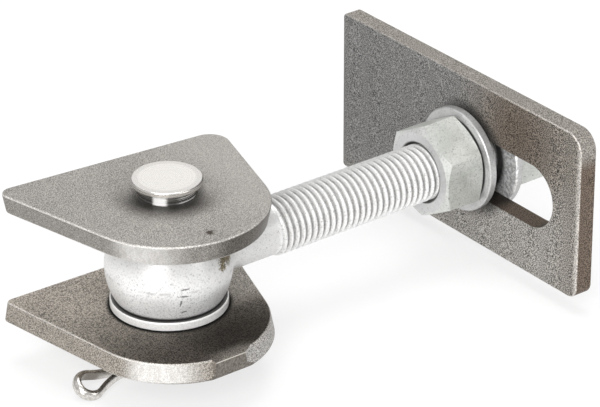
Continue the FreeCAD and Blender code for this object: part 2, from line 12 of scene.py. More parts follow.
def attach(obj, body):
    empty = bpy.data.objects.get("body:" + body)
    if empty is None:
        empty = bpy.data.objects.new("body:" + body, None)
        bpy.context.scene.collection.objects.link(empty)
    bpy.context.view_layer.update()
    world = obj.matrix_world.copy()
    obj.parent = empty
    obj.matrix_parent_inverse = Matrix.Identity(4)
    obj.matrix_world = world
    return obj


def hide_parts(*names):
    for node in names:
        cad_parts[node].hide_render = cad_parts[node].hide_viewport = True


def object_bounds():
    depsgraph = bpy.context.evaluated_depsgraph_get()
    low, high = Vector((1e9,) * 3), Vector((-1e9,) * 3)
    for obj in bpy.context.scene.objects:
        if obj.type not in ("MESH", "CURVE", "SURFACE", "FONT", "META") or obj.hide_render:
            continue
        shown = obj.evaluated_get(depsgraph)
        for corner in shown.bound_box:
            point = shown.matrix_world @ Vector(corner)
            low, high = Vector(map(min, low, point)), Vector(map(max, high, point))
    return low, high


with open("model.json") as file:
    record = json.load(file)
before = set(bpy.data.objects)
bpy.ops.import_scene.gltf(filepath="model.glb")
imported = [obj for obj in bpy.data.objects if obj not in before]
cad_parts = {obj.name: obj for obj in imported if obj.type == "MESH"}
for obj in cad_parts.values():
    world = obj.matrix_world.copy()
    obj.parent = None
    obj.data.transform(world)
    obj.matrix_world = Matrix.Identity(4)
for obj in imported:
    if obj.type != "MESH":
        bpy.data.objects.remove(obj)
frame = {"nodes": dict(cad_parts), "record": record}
cad_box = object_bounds()
nodes = frame["nodes"]
MM = 0.001

# Where the pin and the bolt lie, from the frame's joints
JOINTS = {joint["name"]: joint for joint in frame["record"]["behaviour"]["joints"]}
PIN_AXIS = Vector(JOINTS["pin_turn"]["pos_m"])
BOLT_AXIS = Vector(JOINTS["depth_adjust"]["axis"]).normalized()
SLOT_AXIS = Vector(JOINTS["slot_shift"]["axis"]).normalized()
UPRIGHT = Vector((0, 0, 1))
SWING = math.atan2(BOLT_AXIS.y, BOLT_AXIS.x)
BOLT_ORIGIN = Vector((PIN_AXIS.x, PIN_AXIS.y, JOINTS["front_nut_turn"]["pos_m"][2]))
BOLT_FRAME = Matrix.Translation(BOLT_ORIGIN) @ Matrix.Rotation(SWING, 4, "Z")


def extent(name, direction):
    """How far a node reaches along a direction from the pin's axis, low and high, in millimetres."""
    reach = [(vertex.co - PIN_AXIS).dot(direction) / MM for vertex in nodes[name].data.vertices]
    return round(min(reach), 3), round(max(reach), 3)


# Places along the bolt, across it and up the pin, in millimetres
NUT_SEAT, PLATE_FRONT = extent("front_washer", BOLT_AXIS)
PLATE_BACK = extent("slotted_plate", BOLT_AXIS)[1]
PLATE_END = extent("slotted_plate", SLOT_AXIS)[0]
CLAMP_RADIUS = extent("front_washer", SLOT_AXIS)[1]
THRUST_RADIUS = extent("lower_thrust_washer", Vector((1, 0, 0)))[1]
LOWER_FACE = extent("lower_hinge_plate", UPRIGHT)[1]
UPPER_FACE = extent("upper_hinge_plate", UPRIGHT)[1]
HEAD_TOP = extent("hinge_pin", UPRIGHT)[1]
EYE_FOOT, EYE_TOP = extent("eye_bolt", UPRIGHT)
EYE_HALF = (EYE_TOP - EYE_FOOT) / 2

# Rolled thread, in millimetres; the flats and flanks are shares of half a pitch
THREAD_START = 39.5
THREAD_END = extent("eye_bolt", BOLT_AXIS)[1]
THREAD_OUTSIDE = 10.0
THREAD_ROOT = 8.75
THREAD_PITCH = 2.5
THREAD_RUN_IN = 1.8
THREAD_CHAMFER = 1.6
ROOT_FLAT = 0.18
FLANK = 0.64
NECK_RADIUS = 9.2
STEPS_PER_PITCH = 14
THREAD_SIDES = 72
SHARP_ANGLE = math.radians(35)

# The split pin's eye: its direction from the hinge pin, and its outside radius in millimetres
SPLIT_TURN = math.radians(186.8)
SPLIT_WAY = Vector((math.cos(SPLIT_TURN), math.sin(SPLIT_TURN), 0))
SPLIT_EYE_OUTSIDE = 5.6

# Marks, painted light and painted shade on the hinge plates, in millimetres from the pin's axis
NOSE_SPECK = (-4.3, -30.3, UPPER_FACE)
NOSE_SPECK_SIZE = 1.9
LIT_PATCH = (-25.4, 16.1)
HEAD_SHADE = (10.3, 22)

# Patches on the slotted plate, one of them the centre of the front washer's painted shadow, in millimetres
# across and above the bolt
UMBER_PATCH = (-27, 20)
WASHER_SHADE = (-1.2, 0)

# Marks in millimetres along, across and above the bolt: centre, turn in degrees and half length
PLATE_SCRATCHES = (
    ((PLATE_FRONT, 19, 28.2), 68, 2.6),
    ((PLATE_FRONT, 23.1, 19.6), 51, 2.4),
    ((PLATE_FRONT, 12, 24), 80, 1.6),
)
EYE_DENTS = (
    ((-7.6, -19.5, 1.3), 5, 1.3),
    ((-8, -19.3, -1.15), -6, 1.9),
    ((-8.7, -18.7, -3.7), 80, 1.2),
    ((-7.3, -18.2, -7.5), 5, 1.3),
)
SCRATCH_WIDTH = 0.3
DENT_DEPTH = 4
DENT_WIDTH = 0.36

# Stains on the eye, in the same axes: centre and size
EYE_STAINS = (((8.6, -18, 6.6), 3.1), ((11.4, -16.4, 5.8), 3.6), ((7.8, -18.9, 4.4), 2.3))

# Directions of the painted shade beside the pin's head, and of the painted highlight stripes on its collar
HEAD_SHADE_WAY = (-0.6, -0.8)
COLLAR_STRIPE = (-0.749, -0.663, 0)
COLLAR_SECOND_STRIPE = (0.2, -0.98, 0)

# How squarely a plate's surface faces along its thickness where its rim begins and is full
RIM = (0.75, 0.45)

# Scale, detail and roughness of the zinc's fine noise, and the zinc's least and most roughness
ZINC_FINE = (1.7, 3.0, 0.75)
ZINC_ROUGHNESS = (0.34, 0.44)

# Studio in metres and watts; each lamp has its name, place, size and power
FLOOR_SIZE = 12
FLOOR_GAP = 0.2 * MM
FLOOR_WHITE = 0.72
BRIGHT_SIDE = Vector((-0.75, -0.35, 0.55)).normalized()
SURROUND_FADE = {"From Min": -0.7, "From Max": 0.8, "To Min": 0.08, "To Max": 0.7}
LAMP_TARGET = Vector((0.06, -0.03, 0.02))
LAMPS = (
    ("key", (-0.75, -0.75, 0.75), 0.6, 9),
    ("top", (0.1, 0.1, 1.3), 0.9, 9),
    ("low", (-1.15, -0.7, 0.12), 0.5, 4),
    ("fill", (0.5, -1.2, 0.5), 0.7, 3),
    ("back", (0.62, 0.85, 0.62), 0.6, 0.9),
)

# Camera, fitted to edges and circles of the photo
SENSOR_WIDTH = 36
LENS = 218.92
CLIP_START = 0.05
CLIP_END = 50
CAMERA_AT = Vector((-0.57393, -0.89855, 0.58747))
CAMERA_RIGHT = Vector((0.809889, -0.586582, -0.00089))
CAMERA_AHEAD = Vector((0.518471, 0.716557, -0.46662))


class Shader:
    """A material with one Principled shader, and short ways to add and link nodes."""

    def __init__(self, name):
        self.material = bpy.data.materials.new(name)
        self.material.use_nodes = True
        self.tree = self.material.node_tree
        self.surface = self.tree.nodes["Principled BSDF"]
        self.coordinates = self.tree.nodes.new("ShaderNodeTexCoord")
        self.place = self.frame_place((0, 0, 0))

    def add(self, kind, **values):
        node = self.tree.nodes.new(kind)
        for key, value in values.items():
            setattr(node, key, value)
        return node

    def feed(self, socket, value):
        """Link a socket to an output, or set it to a plain value."""
        if hasattr(value, "is_output"):
            self.tree.links.new(value, socket)
        else:
            socket.default_value = value

    def mapped(self, vector, origin, turn, stretch=(1, 1, 1)):
        """A vector as measured from an origin, in turned axes, squeezed by a stretch."""
        node = self.add("ShaderNodeMapping", vector_type="TEXTURE")
        self.feed(node.inputs["Vector"], vector)
        node.inputs["Location"].default_value = origin
        node.inputs["Rotation"].default_value = turn
        node.inputs["Scale"].default_value = stretch
        return node.outputs["Vector"]

    def frame_place(self, origin, turn=0.0, stretch=(1, 1, 1)):
        """Millimetres from an origin, in axes turned about the upright, squeezed by a stretch."""
        scale = [MM * value for value in stretch]
        return self.mapped(self.coordinates.outputs["Object"], origin, (0, 0, turn), scale)

    def bolt_place(self):
        """Millimetres along, across and above the bolt, from the pin's axis."""
        return self.frame_place(BOLT_ORIGIN, SWING)

    def pin_place(self):
        """Millimetres from the pin's axis, in the frame's directions."""
        return self.frame_place(PIN_AXIS)

    def parts(self, vector):
        node = self.add("ShaderNodeSeparateXYZ")
        self.feed(node.inputs[0], vector)
        return node.outputs[0], node.outputs[1], node.outputs[2]

    def normals(self):
        return self.parts(self.coordinates.outputs["Normal"])

    def vector_math(self, operation, first, second=(0, 0, 0)):
        node = self.add("ShaderNodeVectorMath", operation=operation)
        self.feed(node.inputs[0], first)
        self.feed(node.inputs[1], second)
        return node.outputs

    def facing(self, direction):
        """How squarely the surface faces along a fixed direction, either way: 0 to 1."""
        normal = self.coordinates.outputs["Normal"]
        return self.math("ABSOLUTE", self.vector_math("DOT_PRODUCT", normal, direction)["Value"])

    def noise(self, scale, detail=3.0, roughness=0.55, place=None):
        node = self.add("ShaderNodeTexNoise")
        self.feed(node.inputs["Vector"], place or self.place)
        node.inputs["Scale"].default_value = scale
        node.inputs["Detail"].default_value = detail
        node.inputs["Roughness"].default_value = roughness
        return node.outputs["Fac"]

    def ramp(self, value, low, high, start=0.0, end=1.0):
        """A smooth step: start where the value is low, end where it is high."""
        node = self.add("ShaderNodeMapRange", interpolation_type="SMOOTHSTEP")
        for name, item in (("Value", value), ("From Min", low), ("From Max", high),
                           ("To Min", start), ("To Max", end)):
            self.feed(node.inputs[name], item)
        return node.outputs["Result"]

    def spread(self, noise, start=0.0, end=1.0):
        """The middle of a noise's range, stretched from start to end."""
        return self.ramp(noise, 0.3, 0.7, start, end)

    def band(self, value, low, rise, fall, high):
        """1 between rise and fall, 0 below low and above high."""
        return self.times(self.ramp(value, low, rise), self.ramp(value, high, fall))

    def math(self, operation, first, second=0.0):
        node = self.add("ShaderNodeMath", operation=operation)
        self.feed(node.inputs[0], first)
        self.feed(node.inputs[1], second)
        return node.outputs[0]

    def times(self, product, *others):
        for other in others:
            product = self.math("MULTIPLY", product, other)
        return product

    def radius(self, first, second):
        squares = self.math("ADD", self.times(first, first), self.times(second, second))
        return self.math("SQRT", squares)

    def reach_from(self, centre, first, second):
        """Distance of two coordinates from a centre on their plane."""
        first = self.math("SUBTRACT", first, centre[0])
        second = self.math("SUBTRACT", second, centre[1])
        return self.radius(first, second)

    def mix(self, amount, first, second):
        node = self.add("ShaderNodeMix", data_type="RGBA")
        self.feed(node.inputs[0], amount)
        self.feed(node.inputs[6], first)
        self.feed(node.inputs[7], second)
        return node.outputs[2]

    def bump(self, height, strength, distance, normal=None):
        node = self.add("ShaderNodeBump")
        node.inputs["Strength"].default_value = strength
        node.inputs["Distance"].default_value = distance
        self.feed(node.inputs["Height"], height)
        if normal:
            self.feed(node.inputs["Normal"], normal)
        return node.outputs["Normal"]

    def finish(self, colour, metallic, roughness, normal, shine=0.5):
        self.feed(self.surface.inputs["Base Color"], colour)
        self.feed(self.surface.inputs["Metallic"], metallic)
        self.feed(self.surface.inputs["Roughness"], roughness)
        self.feed(self.surface.inputs["Normal"], normal)
        self.surface.inputs["Specular IOR Level"].default_value = shine
        return self.material


def grey(value, warmth=0.0):
    """A grey, linear, a little warm where warmth is positive."""
    blue = 1 - 1.45 * warmth + 2.3 * warmth ** 2
    return (value * (1 + warmth), value, value * blue, 1.0)


def spot(shader, vector, centre, size):
    """A round mark: 1 at its centre, 0 beyond its size, with a ragged border."""
    reach = shader.vector_math("DISTANCE", vector, centre)["Value"]
    ragged = shader.spread(shader.noise(1.6, 2.0, 0.6), -0.8, 0.8)
    return shader.ramp(shader.math("ADD", reach, ragged), size, size * 0.4)


def scratch(shader, vector, centre, turn, length):
    """A thin scratch on the plane of the last two coordinates, from its centre, turn and half length."""
    local = shader.mapped(vector, centre, (math.radians(turn), 0, 0))
    along, aside = shader.parts(local)[1:]
    within = shader.ramp(shader.math("ABSOLUTE", along), length, length * 0.5)
    thin = shader.ramp(shader.math("ABSOLUTE", aside), SCRATCH_WIDTH, SCRATCH_WIDTH * 0.3)
    return shader.times(within, thin)


def dent(shader, vector, centre, turn, length):
    """A short dent on the side of the eye, from its centre, turn about the across axis and half length."""
    local = shader.mapped(vector, centre, (0, math.radians(-turn), 0), (length, DENT_DEPTH, DENT_WIDTH))
    reach = shader.vector_math("LENGTH", local)["Value"]
    ragged = shader.spread(shader.noise(2.0, 1.0), -0.3, 0.3)
    return shader.ramp(shader.math("ADD", reach, ragged), 1.1, 0.6, 0.0, 0.75)


def plate_steel(name, thickness_way, dark, light, warmth, fineness):
    """Bare blasted plate: fine matt grain and a painted highlight along its rounded edges; returns what the
    finishes build on.
    """
    shader = Shader(name)
    square = shader.facing(thickness_way)
    grain = shader.ramp(shader.noise(fineness, 1.5, 0.6), 0.4, 0.61)
    patches = shader.noise(0.07, 4.0, 0.6)
    tone = shader.math("ADD", shader.times(grain, 0.8), shader.times(patches, 0.2))
    colour = shader.mix(tone, grey(dark, warmth), grey(light * 0.94, warmth))
    sparks = shader.ramp(shader.noise(2.0, 2.0, 0.7), 0.58, 0.7, 0.0, 0.6)
    colour = shader.mix(sparks, colour, grey(min(light * 1.9, 0.9), warmth))
    # Rounded edges between face and rim: a painted highlight, broken by the grain
    edge = shader.band(square, 0.25, 0.5, 0.85, 0.98)
    edge_highlight = shader.times(edge, shader.ramp(grain, 0.0, 0.8, 0.35, 1.0))
    normal = shader.bump(grain, 0.3, 0.1 * MM)
    return shader, colour, grain, edge_highlight, square, patches, normal


def hinge_rim(shader, colour, grain, square, bright, fade, light, darkening, end):
    """Flame-cut rim of a hinge plate: a painted highlight on the left of the nose, other tones along its
    right, dark painted shade there on the upper plate.
    """
    rim = shader.ramp(square, *RIM)
    sideways = shader.normals()[0]
    # Painted highlight on the left of the nose
    nose = shader.band(sideways, bright - 0.12, bright, fade - 0.4, fade)
    streaks = shader.noise(0.8, 3.0, 0.6, shader.frame_place((0, 0, 0), stretch=(1, 1, 3)))
    pale = shader.mix(shader.ramp(streaks, 0.35, 0.6), grey(light * 0.85, 0.03), grey(light, 0.02))
    pale = shader.mix(shader.ramp(grain, 0.6, 0.0, 0.0, 0.4), pale, grey(0.25, 0.06))
    side = shader.mix(shader.times(rim, darkening), colour, grey(0.1, 0.09))
    side = shader.mix(shader.times(nose, rim), side, pale)
    # Tones of the rim's right side, given by end; on the upper plate they are a dark painted shade
    far = shader.times(shader.ramp(sideways, -0.25, 0.05), rim)
    return shader.mix(far, side, shader.mix(grain, *end))


def upper_plate_steel():
    """Upper hinge plate: painted shade beside the pin's head, paler on the right, one dark speck on its
    nose.
    """
    shader, colour, grain, edge_highlight, square, patches, normal = plate_steel(
        "upper_plate_steel", UPRIGHT, dark=0.1, light=0.58, warmth=0.05, fineness=3.3)
    # Rim with a painted highlight on its nose and dark painted shade along its right
    colour = hinge_rim(shader, colour, grain, square, bright=-0.84, fade=-0.34, light=0.6, darkening=0.48,
                       end=(grey(0.03, 0.12), grey(0.15, 0.09)))
    place = shader.pin_place()
    across, along = shader.parts(place)[:2]
    colour = shader.mix(shader.ramp(across, 2, 28, 0.0, 0.25), colour, grey(0.58, 0.04))

    # Painted shade beside the pin's head, spreading most along HEAD_SHADE_WAY
    way_across, way_along = HEAD_SHADE_WAY
    ahead = shader.math("ADD", shader.times(across, way_across), shader.times(along, way_along))
    shade = shader.ramp(shader.radius(across, along), *HEAD_SHADE, 0.97, 0.0)
    shade = shader.times(shade, shader.ramp(ahead, -5, 11, 0.1, 1.0))
    colour = shader.mix(shade, colour, grey(0.03, 0.1))
    colour = shader.mix(spot(shader, place, NOSE_SPECK, NOSE_SPECK_SIZE), colour, grey(0.05, 0.25))
    # Painted highlight along the rounded edges
    colour = shader.mix(shader.times(edge_highlight, 0.55), colour, grey(0.85, 0.03))
    return shader.finish(colour, 0.55, shader.spread(patches, 0.46, 0.56), normal, shine=0.3)


def lower_plate_steel():
    """Lower hinge plate: painted brown shade in front of the eye, painted light past it, and a torn cut at
    the nose with a painted highlight and a painted glow beside it.
    """
    shader, colour, grain, edge_highlight, square, patches, normal = plate_steel(
        "lower_plate_steel", UPRIGHT, dark=0.06, light=0.67, warmth=0.1, fineness=3.0)
    across, along, up = shader.parts(shader.pin_place())
    face = shader.ramp(square, 0.6, 0.9)

    # Painted light that reaches past the eye, on the right and in a patch on the left
    relief = shader.times(shader.ramp(across, 6, 20), shader.ramp(along, -18, -3, 0.0, 0.98))
    pale = shader.mix(grain, grey(0.3, 0.05), grey(0.9, 0.05))
    colour = shader.mix(shader.times(relief, 0.65), colour, pale)
    lit = shader.ramp(shader.reach_from(LIT_PATCH, across, along), 15, 2, 0.0, 0.5)
    colour = shader.mix(lit, colour, shader.mix(grain, grey(0.25, 0.1), grey(0.95, 0.09)))

    # Painted shade in front of the eye, and a painted contact shadow under the thrust washer
    aside = shader.times(shader.math("ABSOLUTE", across), -0.2)
    shade = shader.ramp(shader.math("SUBTRACT", aside, along), -23, 28)
    shade = shader.times(shade, face, shader.math("SUBTRACT", 1.0, relief))
    deep = shader.mix(shader.ramp(across, -17, 0), grey(0.11, 0.18), grey(0.055, 0.18))
    colour = shader.mix(shade, colour, shader.mix(grain, grey(0.01, 0.2), deep))
    under = shader.ramp(shader.radius(across, along), THRUST_RADIUS + 1.8, THRUST_RADIUS + 0.2)
    colour = shader.mix(shader.times(under, face), colour, grey(0.003))
    # Rim with a painted highlight on its nose
    colour = hinge_rim(shader, colour, grain, square, bright=-0.8, fade=-0.2, light=0.68, darkening=0.38,
                       end=(grey(0.14, 0.05), grey(0.62, 0.03)))

    # The torn cut, a painted highlight along its top, and a painted glow on the face beside it
    ahead, above = shader.normals()[1:]
    torn = shader.times(shader.ramp(above, -0.05, -0.18), shader.ramp(ahead, -0.6, -0.85))
    rough = shader.noise(1.4, 3.0, 0.6, shader.frame_place((0, 0, 0), 0.6, (1, 1, 1.3)))
    colour = shader.mix(torn, colour, shader.mix(shader.spread(rough), grey(0.09, 0.13), grey(0.22, 0.09)))
    ridge = shader.ramp(up, LOWER_FACE - 0.6, LOWER_FACE - 0.1, 0.0, 0.8)
    ridge = shader.times(torn, shader.ramp(across, -14, -10), ridge)
    colour = shader.mix(ridge, colour, grey(0.75, 0.06))
    painted_glow = shader.ramp(along, -34, -40.5, 0.0, 0.5)
    painted_glow = shader.times(painted_glow, shader.band(across, -14, -5, 2, 9), face)
    colour = shader.mix(painted_glow, colour, shader.mix(grain, grey(0.2, 0.12), grey(0.6, 0.08)))
    # Painted highlight along the rounded edges
    colour = shader.mix(shader.times(edge_highlight, 0.45), colour, grey(0.8, 0.04))
    return shader.finish(colour, 0.5, shader.spread(patches, 0.5, 0.6), normal, shine=0.15)


def slotted_plate_steel():
    """Slotted plate: grey, warmer towards the free end of its slot, with brown rims, painted light and
    shade, and a few scratches.
    """
    shader, colour, grain, edge_highlight, square, patches, normal = plate_steel(
        "slotted_plate_steel", BOLT_AXIS, dark=0.01, light=0.35, warmth=0.02, fineness=2.9)
    place = shader.bolt_place()
    across, up = shader.parts(place)[1:]
    rim = shader.ramp(square, *RIM)

    # Tones of the face: warm on the right, pale below, umber above the slot
    warm = shader.mix(grain, grey(0.01, 0.1), grey(0.37, 0.1))
    colour = shader.mix(shader.ramp(across, 12, -36), colour, warm)
    lean = shader.math("ADD", up, shader.times(across, 0.3))
    low = shader.times(shader.ramp(lean, 0, -22), shader.ramp(across, -64, -40, 0.2, 1.0))
    colour = shader.mix(low, colour, shader.mix(grain, grey(0.05, 0.06), grey(0.5, 0.05)))
    patch = shader.ramp(shader.reach_from(UMBER_PATCH, across, up), 30, 2, 0.0, 0.95)
    colour = shader.mix(patch, colour, shader.mix(grain, grey(0.01, 0.3), grey(0.17, 0.28)))

    # Tones of the rim: brown, painted light along the top, painted shade inside the slot
    brown = shader.mix(grain, grey(0.03, 0.34), grey(0.185, 0.31))
    top = shader.mix(grain, grey(0.12, 0.09), grey(0.42, 0.07))
    colour = shader.mix(rim, colour, shader.mix(shader.ramp(up, 18, 24), brown, top))
    inside = shader.times(shader.band(up, -12, -10.5, 10.5, 12), shader.ramp(across, -46, -44), rim, 0.6)
    colour = shader.mix(inside, colour, grey(0.012, 0.3))

    # Painted shadow of the front washer, painted highlights along the rounded edges and the plate's end, and
    # scratches
    shade = shader.ramp(shader.reach_from(WASHER_SHADE, across, up), CLAMP_RADIUS + 0.1, 24, 0.85, 0.0)
    shade = shader.times(shade, shader.ramp(across, 14, -4), shader.ramp(up, -24, -12))
    colour = shader.mix(shade, colour, grey(0.01, 0.1))
    edges = shader.times(edge_highlight, shader.ramp(across, 0, -58, 0.15, 0.7))
    # Painted highlight along the plate's rounded end
    end = shader.ramp(across, PLATE_END + 2.4, PLATE_END + 0.6, 0.0, 0.6)
    end = shader.times(end, shader.ramp(square, 0.7, 0.9), shader.ramp(grain, 0.0, 1.0, 0.5, 1.0))
    colour = shader.mix(shader.math("MAXIMUM", edges, end), colour, grey(0.75, 0.05))
    for centre, turn, length in PLATE_SCRATCHES:
        mark = shader.times(scratch(shader, place, centre, turn, length), 0.6)
        colour = shader.mix(mark, colour, grey(0.5, 0.03))
    return shader.finish(colour, 0.45, shader.spread(patches, 0.5, 0.6), normal, shine=0.3)


def zinc_base(name, dark, light):
    """Hot-dip zinc: pale grey, faintly clouded, with fine dark pits; returns what the finishes build on."""
    shader = Shader(name)
    clouds = shader.noise(0.12, 4.0, 0.6)
    fine = shader.noise(*ZINC_FINE)
    base = shader.mix(shader.spread(clouds), dark, light)
    base = shader.mix(shader.ramp(fine, 0.52, 0.36, 0.0, 0.5), base, grey(0.3, 0.01))
    pits = shader.ramp(shader.noise(1.7, 1.0, 0.5), 0.3, 0.24)
    normal = shader.bump(fine, 0.25, 0.1 * MM)
    normal = shader.bump(pits, 0.3, -0.12 * MM, normal)
    return shader, base, pits, shader.spread(clouds, *ZINC_ROUGHNESS), normal


def bolt_zinc():
    """The eye bolt's zinc: pitted low on the eye, stained beside the neck, with painted shade towards its
    top, along the neck, at the eye's flat ends and in the thread's roots.
    """
    shader, base, pits, roughness, normal = zinc_base("eye_bolt_zinc", grey(0.84, 0.006), grey(0.9, 0.004))
    place = shader.bolt_place()
    along, across, up = shader.parts(place)
    height = shader.math("ABSOLUTE", up)
    fine = shader.noise(*ZINC_FINE)
    eye = shader.ramp(along, 24, 18)

    # Painted shade: greyer towards the top and along the neck; and forging pits
    base = shader.mix(shader.ramp(up, -2, 9, 0.0, 0.5), base, grey(0.55, 0.006))
    neck = shader.ramp(along, THREAD_START, THREAD_START - 2)
    neck = shader.times(shader.ramp(along, -8, 12, 0.0, 0.6), neck)
    base = shader.mix(neck, base, grey(0.56, 0.006))
    dots = shader.ramp(shader.noise(1.9, 2.0, 0.7), 0.42, 0.3, 0.0, 0.7)
    dots = shader.times(dots, shader.ramp(along, -14, 2, 0.15, 1.0), shader.ramp(along, 38, 30))
    dots = shader.times(dots, shader.ramp(up, 8, -6, 0.4, 0.9))
    base = shader.mix(dots, base, grey(0.2, 0.02))
    base = shader.mix(shader.times(pits, 0.5), base, grey(0.2, 0.03))

    # The forging's seam round the eye, and painted shade along the eye's flat ends
    broken = shader.ramp(shader.noise(0.4, 2.0), 0.45, 0.65, 0.0, 0.5)
    dark_line = shader.times(shader.ramp(height, 0.7, 0.1), broken, eye)
    base = shader.mix(dark_line, base, grey(0.3, 0.02))
    border = shader.times(shader.ramp(height, EYE_HALF - 1.2, EYE_HALF - 0.3), eye, 0.9)
    base = shader.mix(border, base, grey(0.02, 0.05))

    # Painted shade in the roots of the thread
    threaded = shader.band(along, THREAD_START - 0.5, THREAD_START + 1.0,
                           THREAD_END - 0.8, THREAD_END - 0.1)
    roots = shader.ramp(shader.radius(across, up), THREAD_ROOT + 0.7, THREAD_ROOT + 0.1)
    roots = shader.times(roots, threaded, shader.ramp(fine, 0.3, 0.6, 1.0, 0.7))
    base = shader.mix(roots, base, grey(0.2, 0.015))

    # Olive stain and dark dents on the eye
    stain = shader.mix(shader.ramp(fine, 0.42, 0.62), (0.035, 0.029, 0.016, 1.0), (0.3, 0.24, 0.13, 1.0))
    for centre, size in EYE_STAINS:
        base = shader.mix(spot(shader, place, centre, size), base, stain)
    for centre, turn, length in EYE_DENTS:
        base = shader.mix(dent(shader, place, centre, turn, length), base, grey(0.05, 0.03))
    return shader.finish(base, 0.4, roughness, normal)


def nut_zinc():
    """Zinc of the nuts: greyer, with a faint green; painted shade on faces turned towards -x and in the
    thread's mouth, painted light on upward faces, and a painted contact shadow against the washer.
    """
    green_grey = (0.56, 0.58, 0.54, 1.0)
    green_light = (0.7, 0.71, 0.68, 1.0)
    green_pale = (0.79, 0.8, 0.76, 1.0)
    shader, base, pits, roughness, normal = zinc_base("nut_zinc", green_grey, green_light)
    along, across, up = shader.parts(shader.bolt_place())
    reach = shader.radius(across, up)
    sideways, above = shader.normals()[::2]
    # Painted shade on faces turned towards -x
    base = shader.mix(shader.ramp(sideways, -0.8, -0.97), base, grey(0.6))
    # Painted light on upward faces
    base = shader.mix(shader.ramp(above, 0.6, 0.9, 0.0, 0.3), base, green_pale)
    # Painted shade in the thread's mouth
    mouth = shader.ramp(reach, THREAD_OUTSIDE + 1.4, THREAD_OUTSIDE + 0.6, 0.0, 0.9)
    base = shader.mix(mouth, base, grey(0.03, 0.03))
    dirt = shader.ramp(shader.noise(0.9, 4.0, 0.75), 0.5, 0.72, 0.0, 0.45)
    base = shader.mix(dirt, base, grey(0.3, 0.02))
    base = shader.mix(shader.times(pits, 0.8), base, grey(0.12, 0.02))
    # Painted contact shadow where the nut meets the washer
    dark_line = shader.ramp(shader.math("ABSOLUTE", shader.math("SUBTRACT", along, NUT_SEAT)), 0.55, 0.2)
    base = shader.mix(shader.times(dark_line, shader.ramp(reach, 18, 17.6)), base, grey(0.02, 0.03))
    return shader.finish(base, 0.55, roughness, normal)


def clamp_washer_zinc():
    """Zinc of the washers on the bolt: mottled at the rear, with a painted shadow on the rear washer near
    the bolt and a painted contact shadow beside the front nut.
    """
    shader, base, pits, roughness, normal = zinc_base(
        "clamp_washer_zinc", grey(0.48, 0.004), grey(0.58, 0.002))
    along, across, up = shader.parts(shader.bolt_place())
    reach = shader.radius(across, up)
    rear = shader.band(along, PLATE_BACK - 1, PLATE_BACK - 0.5, PLATE_BACK + 0.5, PLATE_BACK + 1)
    mottle = shader.ramp(shader.noise(0.7, 3.0, 0.7), 0.4, 0.6)
    base = shader.mix(shader.times(rear, mottle), base, grey(0.95))
    # Painted shadow on the rear washer near the bolt
    shaded = shader.times(rear, shader.ramp(reach, 15.0, 12.5, 0.0, 0.95))
    base = shader.mix(shaded, base, grey(0.01, 0.05))
    # Painted contact shadow on the front washer round the nut
    ring = shader.ramp(reach, 16.1, 15.3, 0.0, 0.9)
    ring = shader.times(ring, shader.ramp(along, NUT_SEAT + 1, NUT_SEAT + 0.4))
    ring = shader.times(ring, shader.ramp(across, 6, -4, 0.1, 1.0))
    base = shader.mix(ring, base, grey(0.02, 0.03))
    base = shader.mix(shader.times(pits, 0.5), base, grey(0.2, 0.02))
    return shader.finish(base, 0.55, roughness, normal)


def thrust_washer_zinc():
    """Zinc of the washers on the pin: bright rims, and flat faces dark with painted shade, darkest towards
    the pin.
    """
    shader = Shader("thrust_washer_zinc")
    across, along = shader.parts(shader.pin_place())[:2]
    fine = shader.noise(1.8, 2.0, 0.6)
    rim = shader.mix(shader.ramp(fine, 0.35, 0.65), grey(0.86, 0.01), grey(0.97, 0.01))
    # Painted shade on the flat faces, darkest towards the pin
    outer = shader.ramp(shader.radius(across, along), THRUST_RADIUS - 2.2, THRUST_RADIUS - 0.5)
    face = shader.mix(outer, grey(0.02, 0.03), grey(0.16, 0.02))
    colour = shader.mix(shader.ramp(shader.facing(UPRIGHT), 0.8, 0.95), rim, face)
    normal = shader.bump(fine, 0.2, 0.1 * MM)
    return shader.finish(colour, 0.3, shader.spread(fine, 0.3, 0.42), normal)


def bright_steel():
    """Bright turned steel of the hinge pin: fine rings about its axis, and a collar darkened with painted
    shade that carries two painted highlight stripes.
    """
    shader = Shader("bright_steel")
    across, along, up = shader.parts(shader.pin_place())
    reach = shader.radius(across, along)
    rings = shader.add("ShaderNodeCombineXYZ")
    shader.feed(rings.inputs[0], reach)
    shader.feed(rings.inputs[1], up)
    turned = shader.noise(2.0, 3.0, 0.7, rings.outputs[0])
    colour = shader.mix(shader.ramp(turned, 0.35, 0.65), grey(0.68, 0.03), grey(0.84, 0.03))

    collar = shader.band(up, UPPER_FACE - 0.5, UPPER_FACE + 0.1, HEAD_TOP - 1.9, HEAD_TOP - 1.2)
    # Painted shade on the collar, deeper where the turned rings are dark
    darkening = shader.times(collar, shader.ramp(turned, 0.65, 0.35, 0.4, 0.9))
    colour = shader.mix(darkening, colour, grey(0.08, 0.03))
    # Two painted highlight stripes on the collar, where it faces two fixed directions
    stripe = shader.times(collar, shader.ramp(shader.facing(COLLAR_STRIPE), 0.95, 0.993))
    second = shader.ramp(shader.facing(COLLAR_SECOND_STRIPE), 0.86, 0.97, 0.0, 0.65)
    second = shader.times(collar, second, shader.ramp(turned, 0.42, 0.56))
    stripe = shader.math("MAXIMUM", stripe, second)
    colour = shader.mix(stripe, colour, grey(0.95, 0.01))

    head = shader.ramp(up, HEAD_TOP - 1.5, HEAD_TOP - 0.5)
    border = shader.times(head, shader.ramp(reach, 8.6, 10.2, 0.0, 0.3))
    colour = shader.mix(border, colour, grey(0.4, 0.03))
    # The painted highlights are less metallic
    metallic = shader.ramp(stripe, 0, 1, 0.9, 0.1)
    normal = shader.bump(turned, 0.06, 0.03 * MM)
    return shader.finish(colour, metallic, shader.spread(turned, 0.22, 0.32), normal)


